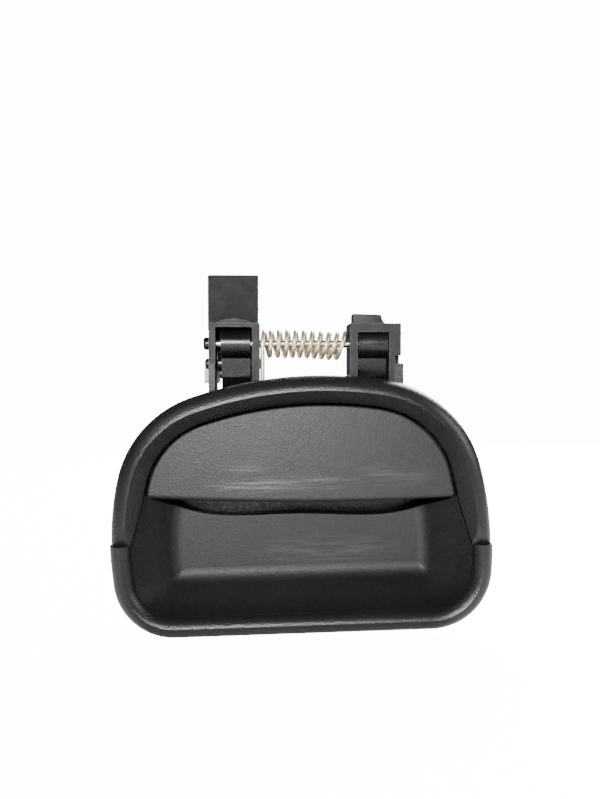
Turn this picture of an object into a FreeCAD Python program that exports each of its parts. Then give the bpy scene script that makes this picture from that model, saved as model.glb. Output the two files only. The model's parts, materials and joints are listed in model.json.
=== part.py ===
import FreeCAD
import Part
import math
import os

# Car door handle: a D-shaped bezel with a pull-up paddle hinged on a steel pin above it.
# Millimetres.  +X is to the right, +Z is up, +Y goes into the door.
# The origin is the middle of the bezel on the plane of the door skin.

Vec = FreeCAD.Vector

# Driving dimensions.
BEZEL_WIDTH = 140.0
SKIN_Y = 0.0
GASKET_THICK = 1.2
RIM_CREST_Y = -9.6
WALL = 2.4
FLOOR_Y = 15.0
POCKET_Y = 25.0
STEP_Z = -14.3
LOWER_RIM_STEP = 0.5
UPPER_FOOT = 10.4
LOWER_FOOT = 7.2
FLOOR_FOOT = 20.9
FLOOR_EDGE_R = 6.0
PIN_Y = 7.5
PIN_Z = 59.4
PIN_R = 1.5
PIN_X0 = -35.9
PIN_X1 = 36.0
ARM_WIDTH = 10.8
LEFT_ARM_X = -30.0
RIGHT_ARM_X = 21.3
PADDLE_THICK = 3.0
PADDLE_EDGE_R = 1.6
KNUCKLE_R = 5.5
NOSE_HALF = 2.2
PADDLE_OPEN_DEG = 25.0
DECK_Z = 38.0
FRAME_PLATE = 2.5
FRAME_FRONT_Y = 2.6
FRAME_BACK_Y = 20.0
FOOT_X0 = -36.0
FOOT_X1 = 39.0
LEVER_Y = PIN_Y + 6.5
LEVER_Z = PIN_Z - 7.4
STUD_SPACING = 76.0
STUD_R = 3.0
STUD_Z = -15.0

# Return spring, and the place in the right arm where its moving end hooks in.
SPRING_WIRE = 1.6
SPRING_R = 4.7
SPRING_X0 = -15.4
SPRING_X1 = 17.2
SPRING_TURNS = 10.5
HOOK_Y = PIN_Y + SPRING_R
HOOK_REACH = 2.4

# The hinge brackets across the car: outer faces, inner faces, top and roof thickness.
LEFT_BRACKET = (-34.6, -32.15, -18.5, -15.7, 67.0, 1.5)
RIGHT_BRACKET = (18.0, 20.8, 32.6, 37.1, 67.0, 1.6)
EAR_TOP_Z = 52.0
EAR_BACK_Y = 8.0
TAB_X0, TAB_X1, TAB_TOP_Z = -35.9, -16.3, 86.4
LEVER_X0, LEVER_X1 = -31.6, -30.2

# The outline of the bezel as it runs counter-clockwise from its lower left corner:
# (radius as a share of the bezel width, turn in degrees); None is a straight run.
OUTLINE = (
    (None, 0.0),
    (0.172, 85.1),
    (0.952, 18.0),
    (0.331, 66.9),
    (1.151, 27.6),
    (0.315, 59.5),
    (0.784, 18.2),
    (None, 0.0),
    (0.166, 84.7),
)
BOTTOM_SLOPE_DEG = 1.4
FLANGE_Y = SKIN_Y - GASKET_THICK

# The lower edge of the paddle is a flat arc: half width, height in the middle, height
# at the ends.  The lip of the bowl floor is a curve through these (x, z) points and
# their mirror images.
PADDLE_EDGE = (57.0, 1.3, 2.8)
FLOOR_LIP = ((0.0, -6.0), (46.0, -3.4), (60.0, 5.0))

# The floor of the bowl lies lower than the middle of its mouth by this much.
FLOOR_DROP = 4.0

# The paddle face is part of a large sphere.
FACE_R = 900.0
FACE_Y = -6.0
FACE_Z = 16.0


def box(x0, x1, y0, y1, z0, z1):
    return Part.makeBox(x1 - x0, y1 - y0, z1 - z0, Vec(x0, y0, z0))


def cylinder(radius, start, end):
    start = Vec(*start)
    run = Vec(*end) - start
    return Part.makeCylinder(radius, run.Length, start, run)


def tube(outer_r, inner_r, start, end):
    return cylinder(outer_r, start, end).cut(cylinder(inner_r, start, end))


def prism_xz(points, y0, y1):
    """A plate with straight edges drawn in the X-Z plane."""
    corners = [Vec(x, y0, z) for x, z in points]
    wire = Part.makePolygon(corners + [corners[0]])
    return Part.Face(wire).extrude(Vec(0, y1 - y0, 0))


def prism_yz(points, x0, x1):
    """A plate with straight edges drawn in the Y-Z plane."""
    corners = [Vec(x0, y, z) for y, z in points]
    wire = Part.makePolygon(corners + [corners[0]])
    return Part.Face(wire).extrude(Vec(x1 - x0, 0, 0))


def heading_vector(degrees):
    angle = math.radians(degrees)
    return Vec(math.cos(angle), 0, math.sin(angle))


def left_of(degrees):
    return heading_vector(degrees + 90.0)


def arc_end(start, heading, radius, turn):
    centre = start + left_of(heading) * radius
    return centre - left_of(heading + turn) * radius


def outline_runs():
    """The runs of the outer outline: (start, heading, radius, turn, length)."""
    radii = [None if share is None else share * BEZEL_WIDTH for share, turn in OUTLINE]
    turns = [turn for share, turn in OUTLINE]
    headings = []
    heading = BOTTOM_SLOPE_DEG
    drift = Vec(0, 0, 0)
    for radius, turn in zip(radii, turns):
        headings.append(heading)
        if radius is not None:
            drift = arc_end(drift, heading, radius, turn)
        heading += turn
    # The two straight runs take the lengths that close the outline.
    first, second = [i for i, radius in enumerate(radii) if radius is None]
    a = heading_vector(headings[first])
    b = heading_vector(headings[second])
    det = a.x * b.z - a.z * b.x
    lengths = {
        first: (-drift.x * b.z + drift.z * b.x) / det,
        second: (-a.x * drift.z + a.z * drift.x) / det,
    }
    runs = []
    point = Vec(0, 0, 0)
    for i, (radius, turn) in enumerate(zip(radii, turns)):
        length = lengths.get(i, 0.0)
        runs.append((point, headings[i], radius, turn, length))
        if radius is None:
            point = point + heading_vector(headings[i]) * length
        else:
            point = arc_end(point, headings[i], radius, turn)
    return runs


def fitted_runs():
    """The same runs scaled to the bezel's width and centred on the origin."""
    runs = outline_runs()
    extent = wire_of(runs, 0.0, 0.0).BoundBox
    scale = (BEZEL_WIDTH - 2 * LOWER_RIM_STEP) / extent.XLength
    shift = Vec(extent.Center.x, 0, extent.Center.z)
    fitted = []
    for point, heading, radius, turn, length in runs:
        radius = None if radius is None else radius * scale
        fitted.append(((point - shift) * scale, heading, radius, turn, length * scale))
    return fitted


def wire_of(runs, inset, y):
    edges = []
    for point, heading, radius, turn, length in runs:
        start = point + left_of(heading) * inset + Vec(0, y, 0)
        if radius is None:
            end = start + heading_vector(heading) * length
            edges.append(Part.makeLine(start, end))
            continue
        inner = radius - inset
        middle = arc_end(start, heading, inner, turn / 2.0)
        end = arc_end(start, heading, inner, turn)
        edges.append(Part.Arc(start, middle, end).toShape())
    return Part.Wire(edges)


RUNS = fitted_runs()


def ring_wire(inset, y):
    return wire_of(RUNS, inset, y)


def ring_prism(inset, y0, y1, lift=0.0):
    """A plate with the bezel's outline moved inwards by the inset."""
    plate = Part.Face(ring_wire(inset, y0)).extrude(Vec(0, y1 - y0, 0))
    plate.translate(Vec(0, 0, lift))
    return plate


def band(inset0, inset1, y0, y1):
    return ring_prism(inset0, y0, y1).cut(ring_prism(inset1, y0, y1))


def swept_ring(profile):
    """A closed profile swept round the outline.  The profile is a list of (inset, y)
    corners; a corner given as ((inset, y), (inset, y)) is an arc's middle and end."""
    pieces = []
    for point, heading, radius, turn, length in RUNS:
        def place(corner):
            return point + left_of(heading) * corner[0] + Vec(0, corner[1], 0)

        edges = []
        here = place(profile[0])
        for corner in profile[1:] + profile[:1]:
            if isinstance(corner[0], tuple):
                middle, there = place(corner[0]), place(corner[1])
                edges.append(Part.Arc(here, middle, there).toShape())
            else:
                there = place(corner)
                edges.append(Part.makeLine(here, there))
            here = there
        face = Part.Face(Part.Wire(edges))
        if radius is None:
            pieces.append(face.extrude(heading_vector(heading) * length))
        else:
            centre = point + left_of(heading) * radius
            pieces.append(face.revolve(centre, Vec(0, -1, 0), turn))
    return pieces[0].multiFuse(pieces[1:])


def upper_rim():
    """The broad half-round lip above the step, drawn out thin where it meets the step."""
    foot_y = FLANGE_Y - 2.6
    rim = swept_ring([
        (0.0, FLANGE_Y),
        (0.0, FLANGE_Y - 1.8),
        ((1.7, RIM_CREST_Y + 1.9), (5.6, RIM_CREST_Y)),
        ((8.6, RIM_CREST_Y + 3.5), (UPPER_FOOT, foot_y)),
        (UPPER_FOOT, FLANGE_Y),
    ])
    rim = rim.common(box(-80, 80, -20, 5, STEP_Z, 60))
    # The crest rounds away over the last stretch above the step.
    fade, drop = 9.0, 3.2
    radius = (fade * fade + drop * drop) / (2 * drop)
    top_z = STEP_Z + fade
    away = box(-80, 80, -20, RIM_CREST_Y + radius, STEP_Z - 1, top_z)
    centre_y = RIM_CREST_Y + radius
    rim = rim.cut(away.cut(cylinder(radius, (-80, centre_y, top_z), (80, centre_y, top_z))))
    # The inner flank narrows to the width of the lower lip.
    for side in (0, 1):
        wide_x = side_x(UPPER_FOOT, 3.0)[side]
        narrow_x = side_x(LOWER_FOOT, STEP_Z)[side]
        wedge = [(wide_x, 3.0), (narrow_x, STEP_Z - 0.5), (0, STEP_Z - 0.5), (0, 3.0)]
        rim = rim.cut(prism_xz(wedge, -20, 5))
    return rim


def bowl(extra):
    """The hollow of the bowl, or with extra its outside, which is thicker all round."""
    mouth = ring_wire(LOWER_FOOT - extra, FLANGE_Y - 3.3)
    floor = ring_wire(FLOOR_FOOT - extra, FLOOR_Y + extra)
    floor.translate(Vec(0, 0, -FLOOR_DROP))
    block = Part.makeLoft([mouth, floor], True, True)
    rounded = [edge for edge in block.Edges if edge.BoundBox.YMin > FLOOR_Y + extra - 0.01]
    return block.makeFillet(FLOOR_EDGE_R + extra, rounded)


def lower_tub():
    """The lower lip, the sloping wall of the bowl and the rounded edge of its floor."""
    edge = -LOWER_RIM_STEP
    crest_y = RIM_CREST_Y + 0.8
    foot_y = FLANGE_Y - 3.3
    lip = swept_ring([
        (edge, FLANGE_Y),
        (edge, FLANGE_Y - 1.8),
        ((edge + 1.1, crest_y + 1.7), (3.6, crest_y)),
        ((6.1, crest_y + 1.7), (LOWER_FOOT, foot_y)),
        (LOWER_FOOT, FLANGE_Y),
    ]).common(box(-80, 80, -20, 40, -60, STEP_Z))
    tub = lip.fuse(bowl(WALL)).cut(bowl(0.0))
    return tub.cut(above_lip(-16, 40))


def side_x(inset, z):
    """The outline's two X values at a height."""
    slab = ring_prism(inset, 0, 1).common(box(-90, 90, 0, 1, z - 0.05, z + 0.05))
    return slab.BoundBox.XMin, slab.BoundBox.XMax


def above_arc(edge, y0, y1, drop=0.0):
    """Everything above a flat arc, as a block; drop lowers the arc."""
    half, middle, end = edge
    rise = end - middle
    radius = (half * half + rise * rise) / (2.0 * rise)
    centre_z = middle - drop + radius
    disc = Part.makeCylinder(radius, y1 - y0, Vec(0, y0, centre_z), Vec(0, 1, 0))
    keep = box(-90, 90, y0, y1, middle - drop - 1.0, 90)
    return disc.common(keep)


def above_lip(y0, y1, drop=0.0):
    """Everything above the lip of the bowl floor, as a block; drop lowers the lip."""
    right = [Vec(x, y0, z - drop) for x, z in FLOOR_LIP]
    left = [Vec(-x, y0, z - drop) for x, z in FLOOR_LIP[:0:-1]]
    curve = Part.BSplineCurve()
    curve.interpolate(left + right)
    start, end = left[0], right[-1]
    top = [end, Vec(90, y0, end.z), Vec(90, y0, 90), Vec(-90, y0, 90), Vec(-90, y0, start.z), start]
    sides = [Part.makeLine(here, there) for here, there in zip(top, top[1:])]
    return Part.Face(Part.Wire([curve.toShape()] + sides)).extrude(Vec(0, y1 - y0, 0))


def sphere_shell(outer_depth, inner_depth):
    """The part of the face's sphere between two depths behind its front."""
    centre = Vec(0, FACE_Y + FACE_R, FACE_Z)
    outer = Part.makeSphere(FACE_R - outer_depth, centre)
    inner = Part.makeSphere(FACE_R - inner_depth, centre)
    near = box(-80, 80, -30, 30, -60, 80)
    return outer.common(near).cut(inner)


def paddle_outline(extra, y0, y1):
    """The plate inside the pocket's edge, above the paddle's lower arc."""
    plate = ring_prism(11.7 + extra, y0, y1, 0.8)
    return plate.common(above_arc(PADDLE_EDGE, y0, y1, -extra))


def both_arms(clearance):
    for x in (LEFT_ARM_X, RIGHT_ARM_X):
        yield x - clearance, x + ARM_WIDTH + clearance


COVER_SCREWS = ((-50.0, 8.0), (50.0, 8.0), (-12.0, 30.5), (12.0, 30.5))
FRAME_SCREWS = ((-10.0, 7.0), (-10.0, 20.0), (14.0, 7.0), (14.0, 20.0))
# The lower carrier screws stay clear of the stiffener's lower edge.
CARRIER_SCREWS = ((-36.0, 14.6), (-36.0, 22.0), (38.0, 14.6), (38.0, 22.0))
BUMPERS = (-50.0, 49.5)
BUMPER_Z = 12.0
BOX_PEGS = ((25.0, 46.0), (33.0, 60.5))
BOX_PEG_R = 1.6


def housing():
    """Bezel rim, bowl, finger pocket and hinge deck in one moulding."""
    tub = ring_prism(8.0, FLANGE_Y - 2.5, POCKET_Y)
    tub = tub.common(above_lip(FLANGE_Y - 2.5, POCKET_Y, WALL))
    tub = tub.cut(box(-80, 80, SKIN_Y + 2.2, 40, DECK_Z, 60))
    upper_zone = above_lip(-16, 40)
    hollow = bowl(0.0).cut(upper_zone)
    deck = box(FOOT_X0, FOOT_X1, FRAME_FRONT_Y, 24, 30, DECK_Z)
    body = upper_rim().multiFuse([tub.cut(hollow), deck])
    front_pocket = ring_prism(UPPER_FOOT, -15, FRAME_FRONT_Y, 0.3).common(upper_zone)
    rear_pocket = ring_prism(UPPER_FOOT, FRAME_FRONT_Y, POCKET_Y).common(upper_zone)
    rear_pocket = rear_pocket.cut(box(-80, 80, 0, 40, DECK_Z - 4.5, 60))
    body = body.cut(front_pocket).cut(rear_pocket).fuse(lower_tub())

    ears = [box(x0, x1, FRAME_FRONT_Y, EAR_BACK_Y, DECK_Z - 1, EAR_TOP_Z)
            for x0, x1 in ((LEFT_BRACKET[0], LEFT_BRACKET[1] - 0.1), (34.9, 38.0))]
    bosses = [cylinder(6.5, (x, FLOOR_Y + 1, STUD_Z), (x, FLOOR_Y + 8, STUD_Z))
              for x in (-STUD_SPACING / 2, STUD_SPACING / 2)]
    posts = [cylinder(3.4, (x, 12, z), (x, POCKET_Y, z)) for x, z in COVER_SCREWS]
    ties = [box(-57.5, -50.0, 12, POCKET_Y, 6.8, 9.2), box(50.0, 57.5, 12, POCKET_Y, 6.8, 9.2)]
    ties += [box(x - 1.2, x + 1.2, 12, POCKET_Y, 30.5, 34.0) for x in (-12.0, 12.0)]
    ledges = [box(-58.0, BUMPERS[0] + 3.4, 3.0, 6.0, BUMPER_Z - 3.4, BUMPER_Z + 3.4),
              box(BUMPERS[1] - 3.4, 57.5, 3.0, 6.0, BUMPER_Z - 3.4, BUMPER_Z + 3.4)]
    body = body.multiFuse(ears + bosses + posts + ties + ledges)

    cuts = [box(x0, x1, -2.0, 18.8, DECK_Z - 9.5, DECK_Z + 1) for x0, x1 in both_arms(0.8)]
    cuts += [cylinder(1.5, (x, y, DECK_Z - 4.0), (x, y, DECK_Z + 1)) for x, y in FRAME_SCREWS]
    cuts += [cylinder(1.3, (x, POCKET_Y - 8, z), (x, POCKET_Y + 1, z)) for x, z in COVER_SCREWS]
    cuts += [cylinder(STUD_R + 1.5, (x, FLOOR_Y + 3, STUD_Z), (x, FLOOR_Y + 9, STUD_Z))
             for x in (-STUD_SPACING / 2, STUD_SPACING / 2)]
    for cutter in cuts:
        body = body.cut(cutter)
    return body.removeSplitter()


def front_edges(plate, lower):
    """The edges round the flap's front face: the lower arc, or all the others."""
    found = []
    for edge in plate.Edges:
        middle = edge.valueAt((edge.FirstParameter + edge.LastParameter) / 2)
        if abs(middle.y - face_depth_y(middle.x, middle.z, 0.0)) > 0.01:
            continue
        if (middle.z < PADDLE_EDGE[2] + 1.0 and abs(middle.x) < 20) == lower:
            found.append(edge)
    return found


def paddle_face():
    """The flap: a domed plate with a lip turned inwards along its lower edge."""
    plate = paddle_outline(0.0, -12, 6).common(sphere_shell(0.0, PADDLE_THICK))
    lip = above_arc(PADDLE_EDGE, -8, 4).cut(above_arc(PADDLE_EDGE, -8, 4, -2.6))
    lip = lip.common(box(-50, 50, -5, 3.0, -5, 10))
    centre = Vec(0, FACE_Y + FACE_R, FACE_Z)
    lip = lip.common(Part.makeSphere(FACE_R - 1.0, centre))
    plate = plate.fuse(lip).removeSplitter()
    plate = plate.makeFillet(PADDLE_EDGE_R, front_edges(plate, True))
    plate = plate.makeFillet(0.7, front_edges(plate, False))
    for x, z in CARRIER_SCREWS:
        plate = plate.cut(cylinder(1.1, (x, FACE_Y + 2.0, z), (x, 6, z)))
    return plate


def arm_profile():
    """Side view of an arm from the paddle's back up to the hinge pin, as (y, z)."""
    front = [(7.0, PIN_Z - 5.0), (8.2, PIN_Z - 12.5), (12.2, DECK_Z + 0.5),
             (12.2, DECK_Z - 3.0), (10.0, DECK_Z - 8.2), (-1.2, DECK_Z - 11.8)]
    rear = [(-1.2, DECK_Z - 22.0), (7.0, DECK_Z - 19.0), (15.0, DECK_Z - 11.0),
            (17.2, DECK_Z - 3.0), (16.2, DECK_Z + 4.0), (12.4, PIN_Z - 11.5),
            (11.4, PIN_Z - 7.5), (11.0, PIN_Z - 3.0)]
    return front + rear


def stop_nose(x0, x1):
    """A block on the knuckle that lands on the stop pad when the paddle is open."""
    nose = box(x0, x1, 0.0, 8.4, -NOSE_HALF, NOSE_HALF)
    nose.rotate(Vec(0, 0, 0), Vec(1, 0, 0), PADDLE_OPEN_DEG)
    nose.translate(Vec(0, PIN_Y, PIN_Z))
    return nose


def peg_centre():
    """The drive peg sits on the line between the two axes at half travel."""
    reach = 0.5 * math.hypot(LEVER_Y - PIN_Y, LEVER_Z - PIN_Z)
    angle = math.atan2(LEVER_Z - PIN_Z, LEVER_Y - PIN_Y) + math.radians(PADDLE_OPEN_DEG / 2)
    return PIN_Y + reach * math.cos(angle), PIN_Z + reach * math.sin(angle)


def paddle_carrier():
    """The stiffener behind the flap with its two arms and the lever's drive peg."""
    plate = paddle_outline(9.0, -12, 8)
    plate = plate.common(sphere_shell(PADDLE_THICK, PADDLE_THICK + 2.2))
    pieces = []
    for x in (LEFT_ARM_X, RIGHT_ARM_X):
        pieces.append(prism_yz(arm_profile(), x, x + ARM_WIDTH))
        pieces.append(cylinder(KNUCKLE_R, (x, PIN_Y, PIN_Z), (x + ARM_WIDTH, PIN_Y, PIN_Z)))
        pieces.append(stop_nose(x + 2.0, x + ARM_WIDTH - 2.0))
    # A lug on the right knuckle takes the spring's hook.
    pieces.append(box(RIGHT_ARM_X, RIGHT_ARM_X + HOOK_REACH + 0.35, PIN_Y + 2, HOOK_Y + 2.2,
                      PIN_Z - 2.2, PIN_Z + 2.2))
    rib = box(LEFT_ARM_X, RIGHT_ARM_X + ARM_WIDTH, -2.5, 3.5, DECK_Z - 14.5, DECK_Z - 12.0)
    pieces.append(rib)
    peg_y, peg_z = peg_centre()
    pieces.append(cylinder(1.0, (LEFT_ARM_X - 1.5, peg_y, peg_z), (LEFT_ARM_X + 1, peg_y, peg_z)))
    body = plate.multiFuse(pieces)
    centre = Vec(0, FACE_Y + FACE_R, FACE_Z)
    body = body.common(Part.makeSphere(FACE_R - PADDLE_THICK, centre))
    for x in (LEFT_ARM_X, RIGHT_ARM_X):
        body = body.cut(cylinder(2.6, (x - 1, PIN_Y, PIN_Z), (x + ARM_WIDTH + 1, PIN_Y, PIN_Z)))
    for x, z in CARRIER_SCREWS:
        body = body.cut(cylinder(1.1, (x, -6, z), (x, 6, z)))
    body = body.cut(cylinder(SPRING_WIRE / 2 + 0.25, (RIGHT_ARM_X - 1, HOOK_Y, PIN_Z),
                             (RIGHT_ARM_X + HOOK_REACH + 0.1, HOOK_Y, PIN_Z)))
    return body.removeSplitter()


def knuckle_bushes():
    """A plain sleeve in each arm, turning on the pin."""
    bushes = []
    for x in (LEFT_ARM_X, RIGHT_ARM_X):
        ends = (x, PIN_Y, PIN_Z), (x + ARM_WIDTH, PIN_Y, PIN_Z)
        bushes.append(tube(2.6, PIN_R + 0.04, *ends))
    return Part.makeCompound(bushes)


def bracket(x0, inner0, inner1, x1, top_z, roof):
    """Two hinge cheeks, a roof and a back wall, open to the front."""
    walls = [
        box(x0, inner0, FRAME_FRONT_Y, FRAME_BACK_Y, DECK_Z, top_z),
        box(inner1, x1, FRAME_FRONT_Y, FRAME_BACK_Y, DECK_Z, top_z),
        box(x0, x1, FRAME_FRONT_Y, FRAME_BACK_Y, top_z - roof, top_z),
        box(x0, x1, FRAME_BACK_Y - FRAME_PLATE, FRAME_BACK_Y, DECK_Z, top_z),
    ]
    return walls[0].multiFuse(walls[1:])


def arched_gusset(rise):
    """A shallow crown on the left roof that stiffens the foot of the tab."""
    x0, x1, top_z = LEFT_BRACKET[1], LEFT_BRACKET[2], LEFT_BRACKET[4]
    half = (x1 - x0) / 2
    radius = (half * half + rise * rise) / (2 * rise)
    centre_z = top_z + rise - radius
    crown = cylinder(radius, (x0 + half, FRAME_FRONT_Y + 2, centre_z), (x0 + half, FRAME_BACK_Y, centre_z))
    return crown.common(box(x0, x1, 0, FRAME_BACK_Y, top_z - 0.5, top_z + rise))


def rear_frame():
    """Hinge frame: foot plate, two brackets and the locating tab."""
    foot = box(FOOT_X0, FOOT_X1, FRAME_FRONT_Y, 24, DECK_Z, DECK_Z + FRAME_PLATE)
    tab = box(TAB_X0, TAB_X1, FRAME_BACK_Y - FRAME_PLATE, FRAME_BACK_Y, 65.0, TAB_TOP_Z)
    tab = tab.makeFillet(0.6, [e for e in tab.Edges
                               if abs(e.BoundBox.ZMin - TAB_TOP_Z) < 0.01 and e.BoundBox.YLength > 1])
    # The right roof is thicker along its front edge.
    brow = box(RIGHT_BRACKET[0], RIGHT_BRACKET[3], FRAME_FRONT_Y, FRAME_FRONT_Y + 1.0,
               RIGHT_BRACKET[4] - 3.3, RIGHT_BRACKET[4])
    body = foot.multiFuse([bracket(*LEFT_BRACKET), bracket(*RIGHT_BRACKET), tab, brow,
                           arched_gusset(1.7)])

    cuts = [box(x0, x1, 0, 18.6, DECK_Z - 1, DECK_Z + 3) for x0, x1 in both_arms(0.8)]
    # Recesses for the two ears of the housing, with a gap above the right one.
    cuts.append(box(-40, LEFT_BRACKET[1], 0, EAR_BACK_Y + 0.1, DECK_Z - 1, EAR_TOP_Z + 0.1))
    cuts.append(box(34.8, 42, 0, EAR_BACK_Y + 0.1, DECK_Z - 1, EAR_TOP_Z + 3.0))
    # Window for the release lever in the left back wall.
    cuts.append(box(LEFT_BRACKET[1], -29.0, FRAME_BACK_Y - FRAME_PLATE, 30,
                    DECK_Z + FRAME_PLATE, LEVER_Z + 4.5))
    cuts.append(cylinder(PIN_R, (-40, PIN_Y, PIN_Z), (PIN_X1, PIN_Y, PIN_Z)))
    cuts.append(cylinder(1.45, (-40, LEVER_Y, LEVER_Z), (-10, LEVER_Y, LEVER_Z)))
    cuts += [cylinder(BOX_PEG_R, (x, FRAME_BACK_Y - 4, z), (x, FRAME_BACK_Y + 1, z))
             for x, z in BOX_PEGS]
    # Window for the spring's moving hook, and the hole for its fixed leg.
    cuts.append(box(RIGHT_BRACKET[0] - 1, RIGHT_BRACKET[1] + 0.05, HOOK_Y - 1.6, HOOK_Y + 1.4,
                    PIN_Z - 3.6, PIN_Z + 1.4))
    cuts.append(cylinder(SPRING_WIRE / 2 + 0.2, (SPRING_X0 + 0.8, PIN_Y - SPRING_R, DECK_Z - 1),
                         (SPRING_X0 + 0.8, PIN_Y - SPRING_R, DECK_Z + 4)))
    cuts += [cylinder(1.5, (x, y, DECK_Z - 1), (x, y, DECK_Z + 4)) for x, y in FRAME_SCREWS]
    for cutter in cuts:
        body = body.cut(cutter)
    return body.removeSplitter()


def rear_box():
    """Black shell staked to the back of the right bracket, open at the back."""
    outer = prism_xz([(20.9, 40.6), (20.9, 71.8), (31.7, 71.4), (32.6, 68.8), (36.8, 65.0),
                      (36.8, 40.6)], FRAME_BACK_Y, 31)
    inner = prism_xz([(22.9, 42.6), (22.9, 69.7), (30.3, 69.4), (31.1, 67.4), (34.8, 64.0),
                      (34.8, 42.6)], FRAME_BACK_Y + 2, 32)
    pegs = [cylinder(BOX_PEG_R, (x, FRAME_BACK_Y - FRAME_PLATE, z), (x, FRAME_BACK_Y + 1, z))
            for x, z in BOX_PEGS]
    return outer.cut(inner).multiFuse(pegs).removeSplitter()


def pocket_cover():
    """Plate that closes the back of the finger pocket."""
    plate = ring_prism(8.0, POCKET_Y, POCKET_Y + WALL)
    plate = plate.common(above_lip(POCKET_Y, POCKET_Y + WALL, WALL))
    plate = plate.cut(box(-80, 80, POCKET_Y - 1, 40, DECK_Z - 0.5, 60))
    ribs = [box(-45, 45, POCKET_Y + WALL - 0.5, POCKET_Y + WALL + 1.5, z, z + 1.6)
            for z in (4.0, 14.0, 24.0)]
    plate = plate.multiFuse(ribs)
    for x, z in COVER_SCREWS:
        plate = plate.cut(cylinder(1.3, (x, POCKET_Y - 1, z), (x, 40, z)))
    return plate.removeSplitter()


def screw(head_r, head_h, shank_r, shank_l, seat, direction):
    """A pan-head screw; the seat is the middle of the head's underside."""
    seat = Vec(*seat)
    way = Vec(*direction)
    head = Part.makeCylinder(head_r, head_h, seat, way * -1)
    head = head.makeFillet(0.35 * head_h, [e for e in head.Edges
                                           if abs((e.CenterOfMass - seat).dot(way) + head_h) < 0.01])
    shank = Part.makeCylinder(shank_r, shank_l, seat, way)
    slot_a = Part.makeBox(1.8 * head_r, 0.8, 0.5 * head_h)
    slot_a.translate(Vec(-0.9 * head_r, -0.4, 0.55 * head_h))
    slot_b = slot_a.copy()
    slot_b.rotate(Vec(0, 0, 0), Vec(0, 0, 1), 90)
    cross = slot_a.fuse(slot_b)
    cross.Placement = FreeCAD.Placement(seat, FreeCAD.Rotation(Vec(0, 0, 1), way * -1))
    return head.fuse(shank).cut(cross).removeSplitter()


def frame_screws():
    seats = [(x, y, DECK_Z + FRAME_PLATE) for x, y in FRAME_SCREWS]
    return Part.makeCompound([screw(2.8, 2.0, 1.5, 5.5, seat, (0, 0, -1)) for seat in seats])


def cover_screws():
    seats = [(x, POCKET_Y + WALL, z) for x, z in COVER_SCREWS]
    return Part.makeCompound([screw(2.6, 1.8, 1.3, 9.0, seat, (0, -1, 0)) for seat in seats])


def face_depth_y(x, z, depth):
    """Y of the face's sphere at the given depth behind its front."""
    radius = FACE_R - depth
    return FACE_Y + FACE_R - math.sqrt(radius ** 2 - x ** 2 - (z - FACE_Z) ** 2)


def carrier_screws():
    screws = []
    for x, z in CARRIER_SCREWS:
        seat_y = face_depth_y(x, z, PADDLE_THICK + 2.2) + 0.11
        screws.append(screw(2.2, 1.5, 1.1, 3.4, (x, seat_y, z), (0, -1, 0)))
    return Part.makeCompound(screws)


def return_spring():
    """Torsion spring on the pin: one leg down into the foot plate, one into the right arm."""
    half = SPRING_WIRE / 2
    first_x = SPRING_X0 + half
    last_x = SPRING_X1 - half
    front_y, rear_y = PIN_Y - SPRING_R, PIN_Y + SPRING_R
    leg = cylinder(half, (first_x, front_y, DECK_Z + 0.6), (first_x, front_y, PIN_Z))
    # The helix is made along Z from +X, then turned to run along the pin from its front.
    helix = Part.makeHelix((last_x - first_x) / SPRING_TURNS, last_x - first_x, SPRING_R)
    helix.rotate(Vec(0, 0, 0), Vec(0, 1, 0), 90)
    helix.rotate(Vec(0, 0, 0), Vec(1, 0, 0), -90)
    helix.translate(Vec(first_x, PIN_Y, PIN_Z))
    start = helix.Edges[0].valueAt(helix.Edges[0].FirstParameter)
    tangent = helix.Edges[0].tangentAt(helix.Edges[0].FirstParameter)
    section = Part.Wire([Part.makeCircle(half, start, tangent)])
    coil = Part.Wire(helix.Edges).makePipeShell([section], True, True)
    hook = cylinder(half, (last_x, HOOK_Y, PIN_Z), (RIGHT_ARM_X + HOOK_REACH, HOOK_Y, PIN_Z))
    joins = [Part.makeSphere(half, Vec(first_x, front_y, PIN_Z)),
             Part.makeSphere(half, Vec(last_x, rear_y, PIN_Z))]
    return coil.multiFuse([leg, hook] + joins)


def hinge_pin():
    pin = cylinder(PIN_R, (PIN_X0, PIN_Y, PIN_Z), (PIN_X1, PIN_Y, PIN_Z))
    return pin.makeChamfer(0.3, [e for e in pin.Edges if e.BoundBox.XLength < 0.01])


def pin_end_cap():
    """Domed cap pushed on the pin's left end, outside the bracket, to keep it in."""
    inner_x, outer_x = LEFT_BRACKET[0], PIN_X0 - 0.9
    cap = cylinder(2.4, (outer_x, PIN_Y, PIN_Z), (inner_x, PIN_Y, PIN_Z))
    far = [e for e in cap.Edges if e.BoundBox.XLength < 0.01 and e.BoundBox.XMin < outer_x + 0.1]
    cap = cap.makeFillet(1.0, far)
    return cap.cut(cylinder(PIN_R, (PIN_X0, PIN_Y, PIN_Z), (inner_x + 0.1, PIN_Y, PIN_Z)))


def lever_pivot():
    """Black plastic pivot with a domed head at each end."""
    x0, x1 = LEFT_BRACKET[0], LEFT_BRACKET[3]
    shaft = cylinder(1.45, (x0 - 0.1, LEVER_Y, LEVER_Z), (x1 + 0.1, LEVER_Y, LEVER_Z))
    heads = []
    for x, way, reach in ((x0, -1, 1.9), (x1, 1, 0.9)):
        head = cylinder(2.1, (x, LEVER_Y, LEVER_Z), (x + way * reach, LEVER_Y, LEVER_Z))
        far = [e for e in head.Edges if e.BoundBox.XLength < 0.01
               and abs(e.BoundBox.XMin - (x + way * reach)) < 0.01]
        heads.append(head.makeFillet(0.8, far))
    return shaft.multiFuse(heads).removeSplitter()


LEVER_REACH = 14.5
LEVER_DROP_DEG = 12.0
ROD_X = LEVER_X0 - 3.4


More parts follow.
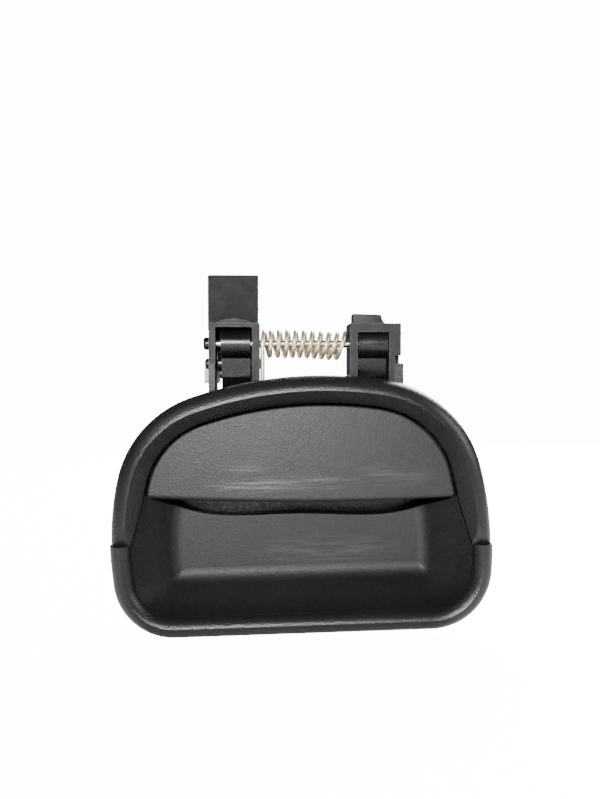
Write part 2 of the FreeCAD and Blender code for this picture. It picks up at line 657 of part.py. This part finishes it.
def lever_tip():
    angle = math.radians(-LEVER_DROP_DEG)
    return LEVER_Y + LEVER_REACH * math.cos(angle), LEVER_Z + LEVER_REACH * math.sin(angle)


def release_lever():
    """Thin bellcrank: a fork round the drive peg and an arm back to the rod clip."""
    x0, x1 = LEVER_X0, LEVER_X1
    tip_y, tip_z = lever_tip()
    hub = cylinder(3.2, (x0, LEVER_Y, LEVER_Z), (x1, LEVER_Y, LEVER_Z))
    tip = cylinder(2.8, (x0, tip_y, tip_z), (x1, tip_y, tip_z))
    beam = box(x0, x1, 0, LEVER_REACH, -1.9, 1.9)
    beam.rotate(Vec(0, 0, 0), Vec(1, 0, 0), -LEVER_DROP_DEG)
    beam.translate(Vec(0, LEVER_Y, LEVER_Z))
    peg_y, peg_z = peg_centre()
    aim = math.degrees(math.atan2(peg_z - LEVER_Z, peg_y - LEVER_Y))
    fork = box(x0, x1, 0, 6.3, -2.3, 2.3)
    slot = box(x0 - 1, x1 + 1, 3.4, 8, -1.15, 1.15)
    for piece in (fork, slot):
        piece.rotate(Vec(0, 0, 0), Vec(1, 0, 0), aim)
        piece.translate(Vec(0, LEVER_Y, LEVER_Z))
    body = hub.multiFuse([tip, beam, fork]).cut(slot)
    body = body.cut(cylinder(1.5, (x0 - 1, LEVER_Y, LEVER_Z), (x1 + 1, LEVER_Y, LEVER_Z)))
    body = body.cut(cylinder(1.35, (x0 - 1, tip_y, tip_z), (x1 + 1, tip_y, tip_z)))
    return body.removeSplitter()


def rod_clip():
    """Clip that swivels on the lever's end and holds the latch rod upright."""
    tip_y, tip_z = lever_tip()
    block = box(LEVER_X0 - 6.2, LEVER_X0 - 0.2, tip_y - 4.0, tip_y + 4.0, tip_z - 4.5, tip_z + 4.5)
    block = block.makeFillet(1.2, [e for e in block.Edges if e.BoundBox.XLength > 5])
    peg = cylinder(1.3, (LEVER_X0 - 0.7, tip_y, tip_z), (LEVER_X1 + 0.8, tip_y, tip_z))
    cap = cylinder(2.0, (LEVER_X1 + 0.1, tip_y, tip_z), (LEVER_X1 + 1.2, tip_y, tip_z))
    body = block.multiFuse([peg, cap])
    bore = cylinder(1.75, (ROD_X, tip_y, tip_z - 6), (ROD_X, tip_y, tip_z + 6))
    return body.cut(bore).removeSplitter()


def flange_gasket():
    return band(1.0, 5.2, FLANGE_Y, SKIN_Y)


def mounting_studs():
    """Two studs with a round head moulded into the bosses behind the bowl."""
    studs = []
    for x in (-STUD_SPACING / 2, STUD_SPACING / 2):
        head = cylinder(STUD_R + 1.5, (x, FLOOR_Y + 3, STUD_Z), (x, FLOOR_Y + 8, STUD_Z))
        shaft = cylinder(STUD_R, (x, FLOOR_Y + 7, STUD_Z), (x, FLOOR_Y + 24, STUD_Z))
        end = [e for e in shaft.Edges if abs(e.BoundBox.YMax - (FLOOR_Y + 24)) < 0.01
               and e.BoundBox.YLength < 0.01]
        studs.append(head.fuse(shaft.makeChamfer(0.6, end)).removeSplitter())
    return Part.makeCompound(studs)


def rest_bumpers():
    pads = []
    for x in BUMPERS:
        front = face_depth_y(abs(x) - 2.5, BUMPER_Z, PADDLE_THICK) + 0.5
        pads.append(cylinder(2.4, (x, front, BUMPER_Z), (x, 3.0, BUMPER_Z)))
    return Part.makeCompound(pads)


def open_stops():
    """Rubber pads on the bracket's back walls that end the paddle's swing."""
    wall_y = FRAME_BACK_Y - FRAME_PLATE
    pads = []
    for x in (LEFT_ARM_X, RIGHT_ARM_X):
        middle = x + ARM_WIDTH / 2
        top_z = PIN_Z - NOSE_HALF - 0.05
        pads.append(box(middle - 2.6, middle + 2.6, PIN_Y + 6.4, wall_y, top_z - 2.2, top_z))
    return Part.makeCompound(pads)


SUBPARTS = {
    "bezel_housing": housing,
    "paddle_face": paddle_face,
    "paddle_carrier": paddle_carrier,
    "knuckle_bushes": knuckle_bushes,
    "rear_frame": rear_frame,
    "rear_box": rear_box,
    "pocket_cover": pocket_cover,
    "hinge_pin": hinge_pin,
    "pin_end_cap": pin_end_cap,
    "return_spring": return_spring,
    "release_lever": release_lever,
    "lever_pivot": lever_pivot,
    "rod_clip": rod_clip,
    "flange_gasket": flange_gasket,
    "mounting_studs": mounting_studs,
    "frame_screws": frame_screws,
    "cover_screws": cover_screws,
    "carrier_screws": carrier_screws,
    "rest_bumpers": rest_bumpers,
    "open_stops": open_stops,
}

os.makedirs("parts", exist_ok=True)
for name, make in SUBPARTS.items():
    shape = make()
    print(name, len(shape.Solids), round(shape.Volume, 1), shape.isValid())
    shape.exportStep("parts/" + name + ".step")
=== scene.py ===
import json
import math

import bmesh
import bpy
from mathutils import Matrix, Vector

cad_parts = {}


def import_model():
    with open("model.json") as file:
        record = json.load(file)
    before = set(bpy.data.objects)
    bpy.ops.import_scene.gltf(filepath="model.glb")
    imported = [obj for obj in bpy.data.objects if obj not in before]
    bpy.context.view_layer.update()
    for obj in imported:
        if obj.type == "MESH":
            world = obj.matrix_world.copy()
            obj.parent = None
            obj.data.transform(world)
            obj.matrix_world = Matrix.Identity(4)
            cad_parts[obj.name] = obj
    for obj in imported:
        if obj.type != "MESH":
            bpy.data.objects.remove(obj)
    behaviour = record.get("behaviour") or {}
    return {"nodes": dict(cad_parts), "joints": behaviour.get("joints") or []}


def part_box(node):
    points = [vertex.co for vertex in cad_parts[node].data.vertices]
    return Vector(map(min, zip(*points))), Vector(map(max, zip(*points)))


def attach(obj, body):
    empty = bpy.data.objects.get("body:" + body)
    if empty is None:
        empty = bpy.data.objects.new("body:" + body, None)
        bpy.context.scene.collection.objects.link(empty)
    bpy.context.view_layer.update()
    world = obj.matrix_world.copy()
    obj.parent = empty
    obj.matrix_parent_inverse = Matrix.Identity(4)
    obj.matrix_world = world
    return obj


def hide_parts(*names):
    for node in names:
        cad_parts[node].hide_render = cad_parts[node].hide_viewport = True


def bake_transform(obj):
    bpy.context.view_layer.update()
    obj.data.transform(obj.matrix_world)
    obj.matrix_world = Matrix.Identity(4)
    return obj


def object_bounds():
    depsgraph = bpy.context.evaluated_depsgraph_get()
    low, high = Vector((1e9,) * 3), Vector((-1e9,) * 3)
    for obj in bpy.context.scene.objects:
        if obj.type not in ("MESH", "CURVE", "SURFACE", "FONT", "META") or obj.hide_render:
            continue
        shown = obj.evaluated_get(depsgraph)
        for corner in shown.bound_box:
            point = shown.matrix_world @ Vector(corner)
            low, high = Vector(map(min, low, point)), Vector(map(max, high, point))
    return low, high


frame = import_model()
CAD_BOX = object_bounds()

MM = 0.001
NODES = frame["nodes"]


# ---------------------------------------------------------------- node helpers

class Shader:
    """A small builder for one material's node tree."""

    def __init__(self, name):
        self.material = bpy.data.materials.new(name)
        self.material.use_nodes = True
        self.tree = self.material.node_tree
        self.bsdf = self.tree.nodes["Principled BSDF"]
        coords = self.tree.nodes.new("ShaderNodeTexCoord")
        self.place = coords.outputs["Object"]

    def node(self, kind, **values):
        made = self.tree.nodes.new(kind)
        for key, value in values.items():
            setattr(made, key, value)
        return made

    def link(self, source, target):
        self.tree.links.new(source, target)

    def feed(self, target, value):
        if hasattr(value, "is_linked"):
            self.link(value, target)
        else:
            target.default_value = value

    def stretched(self, scale):
        mapping = self.node("ShaderNodeMapping")
        mapping.inputs["Scale"].default_value = scale
        self.link(self.place, mapping.inputs["Vector"])
        return mapping.outputs["Vector"]

    def noise(self, scale, detail=3.0, roughness=0.5, place=None):
        made = self.node("ShaderNodeTexNoise")
        self.link(place or self.place, made.inputs["Vector"])
        made.inputs["Scale"].default_value = scale
        made.inputs["Detail"].default_value = detail
        made.inputs["Roughness"].default_value = roughness
        return made.outputs["Fac"]

    def cells(self, scale, feature="F1", smooth=None):
        made = self.node("ShaderNodeTexVoronoi", feature=feature)
        self.link(self.place, made.inputs["Vector"])
        made.inputs["Scale"].default_value = scale
        if smooth is not None and "Smoothness" in made.inputs:
            made.inputs["Smoothness"].default_value = smooth
        return made.outputs["Distance"]

    def remap(self, value, low, high, to_low, to_high):
        made = self.node("ShaderNodeMapRange")
        self.feed(made.inputs["Value"], value)
        made.inputs["From Min"].default_value = low
        made.inputs["From Max"].default_value = high
        made.inputs["To Min"].default_value = to_low
        made.inputs["To Max"].default_value = to_high
        return made.outputs["Result"]

    def math(self, operation, a, b=0.0):
        made = self.node("ShaderNodeMath", operation=operation)
        self.feed(made.inputs[0], a)
        self.feed(made.inputs[1], b)
        return made.outputs[0]

    def mix(self, share, dark, light):
        made = self.node("ShaderNodeMix", data_type="RGBA")
        self.feed(made.inputs["Factor"], share)
        for name, colour in (("A", dark), ("B", light)):
            socket = [s for s in made.inputs if s.name == name and s.type == "RGBA"][0]
            self.feed(socket, (*colour, 1.0) if isinstance(colour, tuple) else colour)
        return [s for s in made.outputs if s.type == "RGBA"][0]

    def bump(self, height, distance, strength=1.0):
        made = self.node("ShaderNodeBump")
        self.link(height, made.inputs["Height"])
        made.inputs["Distance"].default_value = distance
        made.inputs["Strength"].default_value = strength
        return made.outputs["Normal"]

    def depth(self, front_y, back_y, front_value, back_value):
        """A value that changes with the distance into the door."""
        split = self.node("ShaderNodeSeparateXYZ")
        self.link(self.place, split.inputs[0])
        return self.remap(split.outputs["Y"], front_y, back_y, front_value, back_value)

    def spot(self, centre, radii):
        """1 at the centre of an ellipsoid, falling to 0 at its edge."""
        mapping = self.node("ShaderNodeMapping", vector_type="TEXTURE")
        mapping.inputs["Location"].default_value = centre
        mapping.inputs["Scale"].default_value = radii
        self.link(self.place, mapping.inputs["Vector"])
        length = self.node("ShaderNodeVectorMath", operation="LENGTH")
        self.link(mapping.outputs["Vector"], length.inputs[0])
        return self.remap(length.outputs["Value"], 0.35, 1.0, 1.0, 0.0)

    def edge_wear(self, radius, low=0.90, high=0.99):
        """1 on sharp edges, 0 on flat ground."""
        bevel = self.node("ShaderNodeBevel", samples=6)
        bevel.inputs["Radius"].default_value = radius
        geometry = self.node("ShaderNodeNewGeometry")
        dot = self.node("ShaderNodeVectorMath", operation="DOT_PRODUCT")
        self.link(bevel.outputs["Normal"], dot.inputs[0])
        self.link(geometry.outputs["Normal"], dot.inputs[1])
        return self.remap(dot.outputs["Value"], high, low, 0.0, 1.0)

    def finish(self, colour, roughness, normal=None, metal=0.0, specular=0.5):
        self.feed(self.bsdf.inputs["Base Color"], colour)
        self.feed(self.bsdf.inputs["Roughness"], roughness)
        self.bsdf.inputs["Metallic"].default_value = metal
        self.bsdf.inputs["Specular IOR Level"].default_value = specular
        if normal is not None:
            self.link(normal, self.bsdf.inputs["Normal"])
        return self.material


# ---------------------------------------------------------------- materials

def grained_plastic(name, scuffs_and_light=(), worn_y=-3.5 * MM, deep_y=4.0 * MM, worn=0.31, deep=0.52):
    """Black moulded plastic with a fine leather grain, polished where hands touch it."""
    s = Shader(name)
    pebbles = s.cells(1700, "SMOOTH_F1", 0.4)
    creases = s.noise(2600, 3.0, 0.6)
    height = s.math("ADD", pebbles, s.math("MULTIPLY", creases, 0.8))
    patches = s.noise(28, 4.0, 0.6)
    colour = s.mix(s.remap(patches, 0.35, 0.7, 0.0, 1.0), (0.0045, 0.0052, 0.0048), (0.008, 0.008, 0.0081))
    colour = s.mix(s.remap(creases, 0.46, 0.66, 0.0, 0.55), colour, (0.026, 0.025, 0.0255))
    wear = s.edge_wear(0.5 * MM)
    worn_edge = s.math("MULTIPLY", wear, s.remap(creases, 0.4, 0.6, 0.0, 0.2))
    colour = s.mix(worn_edge, colour, (0.05, 0.049, 0.048))
    grain = s.remap(creases, 0.35, 0.65, 0.05, -0.05)
    roughness = s.math("ADD", s.depth(worn_y, deep_y, worn, deep), grain)
    streaks = s.noise(1.0, 5.0, 0.65, s.stretched((60, 60, 900)))
    # Each patch lightens the colour along streaks: scuffs plus painted sheen on the paddle, a painted pool
    # of light on the bowl's floor.
    for centre, radii, strength in scuffs_and_light:
        scuff_and_light_mask = s.math("MULTIPLY", s.remap(streaks, 0.42, 0.68, 0.0, 1.0), s.spot(centre, radii))
        scuff_and_light_mask = s.math("MULTIPLY", scuff_and_light_mask, s.remap(creases, 0.38, 0.62, 0.2, strength))
        colour = s.mix(scuff_and_light_mask, colour, (0.20, 0.195, 0.19))
    return s.finish(colour, roughness, s.bump(height, 0.08 * MM, 0.9), specular=0.46)


def smooth_black_plastic(name):
    """Smooth black nylon with faint moulding flow and greasy patches."""
    s = Shader(name)
    patches = s.noise(90, 4.0, 0.6)
    colour = s.mix(s.remap(patches, 0.35, 0.7, 0.0, 1.0), (0.003, 0.003, 0.003), (0.007, 0.007, 0.007))
    wear = s.edge_wear(0.35 * MM)
    colour = s.mix(s.math("MULTIPLY", wear, 0.35), colour, (0.09, 0.09, 0.088))
    roughness = s.remap(s.noise(160, 4.0, 0.65), 0.3, 0.7, 0.22, 0.36)
    normal = s.bump(s.noise(700, 3.0), 0.02 * MM, 0.5)
    return s.finish(colour, roughness, normal, specular=0.36)


def glass_filled_nylon(name):
    """Slightly grey structural plastic with fibre mottling and light worn edges."""
    s = Shader(name)
    fibres = s.noise(1.0, 5.0, 0.7, s.stretched((500, 500, 1500)))
    patches = s.noise(60, 4.0, 0.6)
    colour = s.mix(s.remap(patches, 0.3, 0.7, 0.0, 1.0), (0.006, 0.0062, 0.0064), (0.011, 0.0112, 0.0115))
    colour = s.mix(s.remap(fibres, 0.55, 0.8, 0.0, 0.4), colour, (0.04, 0.04, 0.04))
    wear = s.edge_wear(0.4 * MM)
    worn_edge = s.math("MULTIPLY", wear, s.remap(fibres, 0.4, 0.6, 0.1, 0.7))
    colour = s.mix(worn_edge, colour, (0.16, 0.158, 0.155))
    mottle = s.remap(s.noise(260, 4.0, 0.65), 0.3, 0.7, -0.06, 0.06)
    roughness = s.math("ADD", s.depth(3.0 * MM, 17.0 * MM, 0.56, 0.74), mottle)
    height = s.math("ADD", s.noise(1500, 4.0), s.math("MULTIPLY", fibres, 0.6))
    return s.finish(colour, roughness, s.bump(height, 0.03 * MM, 0.7), specular=0.3)


def metal(name, light, dark, rough_low, rough_high, shine=1.0):
    """Plated steel: drawn streaks, dull patches and a few darker stains."""
    s = Shader(name)
    drawn = s.noise(1.0, 4.0, 0.6, s.stretched((1400, 120, 1400)))
    stains = s.noise(240, 5.0, 0.7)
    share = s.remap(stains, 0.42, 0.72, 0.0, 0.85)
    colour = s.mix(share, light, dark)
    polish = s.remap(drawn, 0.3, 0.7, rough_low, rough_high)
    roughness = s.math("ADD", polish, s.math("MULTIPLY", share, 0.12))
    return s.finish(colour, roughness, s.bump(drawn, 0.012 * MM, 0.6), metal=shine)


def acetal(name, light, dark):
    """Unfilled engineering plastic, satin, with faint grease stains."""
    s = Shader(name)
    stains = s.noise(300, 4.0, 0.65)
    colour = s.mix(s.remap(stains, 0.4, 0.75, 0.0, 0.8), light, dark)
    roughness = s.remap(s.noise(200, 3.0), 0.3, 0.7, 0.26, 0.42)
    return s.finish(colour, roughness, s.bump(s.noise(900, 3.0), 0.015 * MM, 0.5))


def rubber(name):
    """Closed-cell sealing rubber with a fine pitted skin."""
    s = Shader(name)
    pits = s.cells(2600)
    patches = s.noise(150, 4.0, 0.6)
    colour = s.mix(s.remap(patches, 0.35, 0.7, 0.0, 1.0), (0.012, 0.012, 0.012), (0.030, 0.030, 0.029))
    roughness = s.remap(s.noise(400, 3.0), 0.3, 0.7, 0.7, 0.9)
    return s.finish(colour, roughness, s.bump(pits, 0.06 * MM, 0.7), specular=0.35)


# ---------------------------------------------------------------- CAD nodes

def dress(node, material):
    """Gives a CAD node its material."""
    piece = NODES[node]
    piece.data.materials.clear()
    piece.data.materials.append(material)


def patch(node, across, up, half_width, half_height, strength):
    """A patch of scuffs and painted light on a node's front, given in shares of the node's width and
    height.
    """
    corner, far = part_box(node)
    wide, high = far.x - corner.x, far.z - corner.z
    centre = (corner.x + across * wide, corner.y, corner.z + up * high)
    return centre, (half_width * wide, 1.0, half_height * high), strength


# Fingers and keys have scuffed the paddle low on its left half, and these patches also paint sheen there.
# The bowl's floor gets a painted pool of light, drawn as faint scuff streaks.
PADDLE_SCUFFS_AND_SHEEN = (
    patch("paddle_face", 0.33, 0.17, 0.16, 0.09, 0.60),
    patch("paddle_face", 0.50, 0.21, 0.22, 0.10, 0.45),
    patch("paddle_face", 0.33, 0.36, 0.12, 0.08, 0.30),
    patch("paddle_face", 0.80, 0.28, 0.16, 0.14, 0.12),
)
# Painted pool of light on the bowl's floor, drawn with the scuff streaks.
FLOOR_PAINTED_LIGHT = (
    patch("bezel_housing", 0.58, 0.28, 0.24, 0.07, 0.14),
)
grained = grained_plastic("grained_black_plastic", FLOOR_PAINTED_LIGHT)
paddle_grain = grained_plastic("paddle_grain", PADDLE_SCUFFS_AND_SHEEN, -30 * MM, -8 * MM, 0.36, 0.47)
smooth_black = smooth_black_plastic("smooth_black_plastic")
nylon = glass_filled_nylon("glass_filled_nylon")
pin_steel = metal("pin_steel", (0.62, 0.60, 0.56), (0.34, 0.31, 0.27), 0.22, 0.34)
zinc = metal("zinc_steel", (0.60, 0.60, 0.60), (0.40, 0.38, 0.33), 0.32, 0.46)
spring_steel = metal("yellow_zinc_spring", (0.96, 0.86, 0.63), (0.50, 0.39, 0.22), 0.22, 0.34, shine=0.85)
grey_bush = acetal("grey_acetal", (0.34, 0.34, 0.33), (0.2, 0.2, 0.19))
natural_nylon = acetal("natural_nylon", (0.66, 0.62, 0.52), (0.42, 0.37, 0.28))
black_rubber = rubber("black_rubber")

dress("bezel_housing", grained)
dress("paddle_face", paddle_grain)
dress("paddle_carrier", smooth_black)
dress("knuckle_bushes", grey_bush)
dress("rear_frame", nylon)
dress("rear_box", smooth_black)
dress("pin_end_cap", smooth_black)
dress("pocket_cover", smooth_black)
dress("hinge_pin", pin_steel)
dress("release_lever", smooth_black)
dress("lever_pivot", smooth_black)
dress("rod_clip", natural_nylon)
dress("mounting_studs", zinc)
dress("frame_screws", zinc)
dress("cover_screws", zinc)
dress("carrier_screws", zinc)

# ---------------------------------------------------------------- rubber parts

def soft_rubber(node, voxel, rounds):
    """A rubber part, remeshed from its plain form and relaxed until its edges are soft."""
    made = bpy.data.objects.new("moulded_" + node, NODES[node].data.copy())
    bpy.context.scene.collection.objects.link(made)
    weld = made.modifiers.new("weld", "WELD")
    weld.merge_threshold = 0.002 * MM
    skin = made.modifiers.new("skin", "REMESH")
    skin.mode = "VOXEL"
    skin.voxel_size = voxel
    skin.use_smooth_shade = True
    relax = made.modifiers.new("relax", "SMOOTH")
    relax.factor = 0.5
    relax.iterations = rounds
    soft = bpy.data.meshes.new_from_object(made.evaluated_get(bpy.context.evaluated_depsgraph_get()))
    made.modifiers.clear()
    made.data = soft
    soft.materials.clear()
    soft.materials.append(black_rubber)
    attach(made, "housing")
    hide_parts(node)


soft_rubber("flange_gasket", 0.30 * MM, 4)
soft_rubber("rest_bumpers", 0.15 * MM, 8)
soft_rubber("open_stops", 0.15 * MM, 8)

# ---------------------------------------------------------------- return spring

WIRE_R = 0.84 * MM
COIL_TURNS = 10.5
STEPS_PER_TURN = 28
WIRE_SIDES = 14
ARM_WIDTH = 10.8 * MM
ARM_GAP = 4.9 * MM
SAG = 0.9 * MM
HOOK_BEND = 1.2 * MM


def smooth_step(value):
    value = min(max(value, 0.0), 1.0)
    return value * value * (3.0 - 2.0 * value)


def spring_path(pin, low_corner, high_corner):
    """Centre line: up the fixed leg, round the pin, and into the paddle's right arm."""
    radius = high_corner.y - pin.y - WIRE_R
    first_x = low_corner.x + WIRE_R
    arm_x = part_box("knuckle_bushes")[1].x - ARM_WIDTH
    last_x = arm_x - ARM_GAP
    points = [Vector((first_x, pin.y - radius, low_corner.z + share * (pin.z - low_corner.z)))
              for share in (0.03, 0.2, 0.4, 0.6, 0.8)]
    count = int(COIL_TURNS * STEPS_PER_TURN)
    for step in range(count + 1):
        share = step / count
        angle = 2.0 * math.pi * COIL_TURNS * share
        height = radius * math.sin(angle)
        # The loaded coil leans more and sags a little towards its moving end.
        lean = -0.14 + 0.36 * smooth_step(share)
        sag = -SAG * smooth_step(1.6 * share - 0.6) * (1.0 - smooth_step(12.0 * share - 11.0))
        x = first_x + (last_x - first_x) * share + lean * height * smooth_step(6.0 * share + 0.2)
        points.append(Vector((x, pin.y - radius * math.cos(angle), pin.z + height + sag)))
    end = points[-1]
    for turn in (30, 60, 90):
        angle = math.radians(turn)
        across = HOOK_BEND * (1.0 - math.cos(angle))
        down = HOOK_BEND * math.sin(angle) * 0.35
        points.append(end + Vector((across, 0.0, -down)))
    points.append(Vector((high_corner.x, end.y, points[-1].z + 0.3 * MM)))
    return points


def swept_wire(name, points, radius, sides):
    """A round wire along the points, with rounded ends."""
    mesh = bpy.data.meshes.new(name)
    build = bmesh.new()
    rings = []
    tangent = (points[1] - points[0]).normalized()
    across = tangent.orthogonal().normalized()
    stations = [(points[0] - tangent * radius * 0.6, 0.6)] + [(point, 1.0) for point in points]
    last_way = (points[-1] - points[-2]).normalized()
    stations.append((points[-1] + last_way * radius * 0.6, 0.6))
    for index, (centre, share) in enumerate(stations):
        before = stations[max(index - 1, 0)][0]
        after = stations[min(index + 1, len(stations) - 1)][0]
        tangent = (after - before).normalized()
        across = (across - tangent * across.dot(tangent)).normalized()
        other = tangent.cross(across)
        ring = []
        for side in range(sides):
            angle = 2.0 * math.pi * side / sides
            out = across * math.cos(angle) + other * math.sin(angle)
            ring.append(build.verts.new(centre + out * radius * share))
        rings.append(ring)
    for here, there in zip(rings, rings[1:]):
        for side in range(sides):
            following = (side + 1) % sides
            build.faces.new((here[side], here[following], there[following], there[side]))
    build.faces.new(list(reversed(rings[0])))
    build.faces.new(rings[-1])
    for face in build.faces:
        face.smooth = len(face.verts) == 4
    bmesh.ops.recalc_face_normals(build, faces=build.faces)
    build.to_mesh(mesh)
    build.free()
    made = bpy.data.objects.new(name, mesh)
    bpy.context.scene.collection.objects.link(made)
    return made


def coiled_spring():
    joint = [j for j in frame["joints"] if j["name"] == "paddle_pull"][0]
    pin = Vector(joint["pos_m"])
    low_corner, high_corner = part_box("return_spring")
    points = spring_path(pin, low_corner, high_corner)
    spring = swept_wire("coiled_return_spring", points, WIRE_R, WIRE_SIDES)
    spring.data.materials.append(spring_steel)
    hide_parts("return_spring")
    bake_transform(spring)


coiled_spring()

# ---------------------------------------------------------------- stage

low, high = (Vector(corner) for corner in CAD_BOX)
width = high.x - low.x


SHARE_OF_FRAME = 0.63667
CAMERA_SENSOR = 36.0
BACKDROP_GLOW = 14.0
AMBIENT = 0.10


def floor():
    mesh = bpy.data.meshes.new("floor")
    half = 6.0
    z = low.z - 0.2 * MM
    corners = [(-half, -half, z), (half, -half, z), (half, half, z), (-half, half, z)]
    mesh.from_pydata(corners, [], [(0, 1, 2, 3)])
    made = bpy.data.objects.new("floor", mesh)
    bpy.context.scene.collection.objects.link(made)
    s = Shader("pale_floor")
    tone = s.noise(3.0, 3.0)
    colour = s.mix(tone, (0.86, 0.86, 0.86), (0.90, 0.90, 0.90))
    path = s.node("ShaderNodeLightPath")
    s.feed(s.bsdf.inputs["Emission Color"], (1.0, 1.0, 1.0, 1.0))
    glow = s.math("MULTIPLY", path.outputs["Is Camera Ray"], BACKDROP_GLOW)
    s.link(glow, s.bsdf.inputs["Emission Strength"])
    mesh.materials.append(s.finish(colour, 0.9, specular=0.1))


def area_light(name, place, target, size, power):
    data = bpy.data.lights.new(name, "AREA")
    data.shape = "SQUARE"
    data.size = size
    data.energy = power
    made = bpy.data.objects.new(name, data)
    made.location = place
    made.rotation_euler = (Vector(target) - Vector(place)).to_track_quat("-Z", "Y").to_euler()
    bpy.context.scene.collection.objects.link(made)


def world():
    made = bpy.data.worlds.new("studio")
    bpy.context.scene.world = made
    made.use_nodes = True
    tree = made.node_tree
    background = tree.nodes["Background"]
    path = tree.nodes.new("ShaderNodeLightPath")
    mix = tree.nodes.new("ShaderNodeMapRange")
    tree.links.new(path.outputs["Is Camera Ray"], mix.inputs["Value"])
    mix.inputs["To Min"].default_value = AMBIENT
    mix.inputs["To Max"].default_value = BACKDROP_GLOW
    background.inputs["Color"].default_value = (1.0, 1.0, 1.0, 1.0)
    tree.links.new(mix.outputs["Result"], background.inputs["Strength"])


def camera():
    # The view is square on to the bezel, from very slightly left and above.
    distance = 2.25 * width
    azimuth = math.radians(-2.0)
    elevation = math.radians(1.5)
    aim = Vector((-0.006 * width, -0.002, 0.276 * width))
    back = Vector((math.sin(azimuth), -math.cos(azimuth) * math.cos(elevation), math.sin(elevation)))
    data = bpy.data.cameras.new("camera")
    data.sensor_fit = "HORIZONTAL"
    data.sensor_width = CAMERA_SENSOR
    frame_width = width / SHARE_OF_FRAME
    data.lens = CAMERA_SENSOR * distance / frame_width
    data.clip_start = 0.01
    made = bpy.data.objects.new("camera", data)
    made.location = aim + back.normalized() * distance
    made.rotation_euler = (aim - made.location).to_track_quat("-Z", "Y").to_euler()
    bpy.context.scene.collection.objects.link(made)
    bpy.context.scene.camera = made


floor()
world()
camera()
area_light("key", (-0.09, -0.63, 0.19), (0, 0, 0.03), 0.11, 7.5)
area_light("side_fill", (0.75, -0.20, 0.35), (0, 0, 0.02), 0.4, 3.0)
area_light("fill", (-0.45, -0.45, 0.45), (0, 0, 0.01), 0.4, 0.8)
area_light("back_fill", (0.3, 0.7, 0.5), (0, 0, 0.02), 0.6, 22.0)
